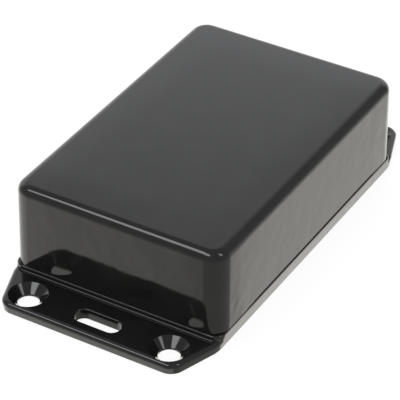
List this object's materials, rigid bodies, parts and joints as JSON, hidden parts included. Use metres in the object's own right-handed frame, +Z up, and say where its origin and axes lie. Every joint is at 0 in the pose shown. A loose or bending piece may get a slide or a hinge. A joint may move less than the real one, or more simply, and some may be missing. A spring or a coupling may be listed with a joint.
{
  "type": "flanged project box",
  "caption": "Gloss black moulded project box: a round-edged cover screwed to a flanged base plate with countersunk fixing holes and a slot at each end.",
  "frame": {"origin": "middle of the flat mounting face under the base plate", "axes": "+X along the box, from one flange to the other; +Y across the box; +Z up from the mounting face to the cover's top"},
  "size_m": [0.111, 0.056, 0.0262],
  "materials": {
    "base_plate": "glossy black moulded plastic",
    "cover": "glossy black moulded plastic",
    "lid_screws": "bright zinc-plated steel"
  },
  "bodies": {
    "root": {"base_plate": "base_plate", "cover": "cover", "lid_screws": "lid_screws"}
  },
  "joints": []
}
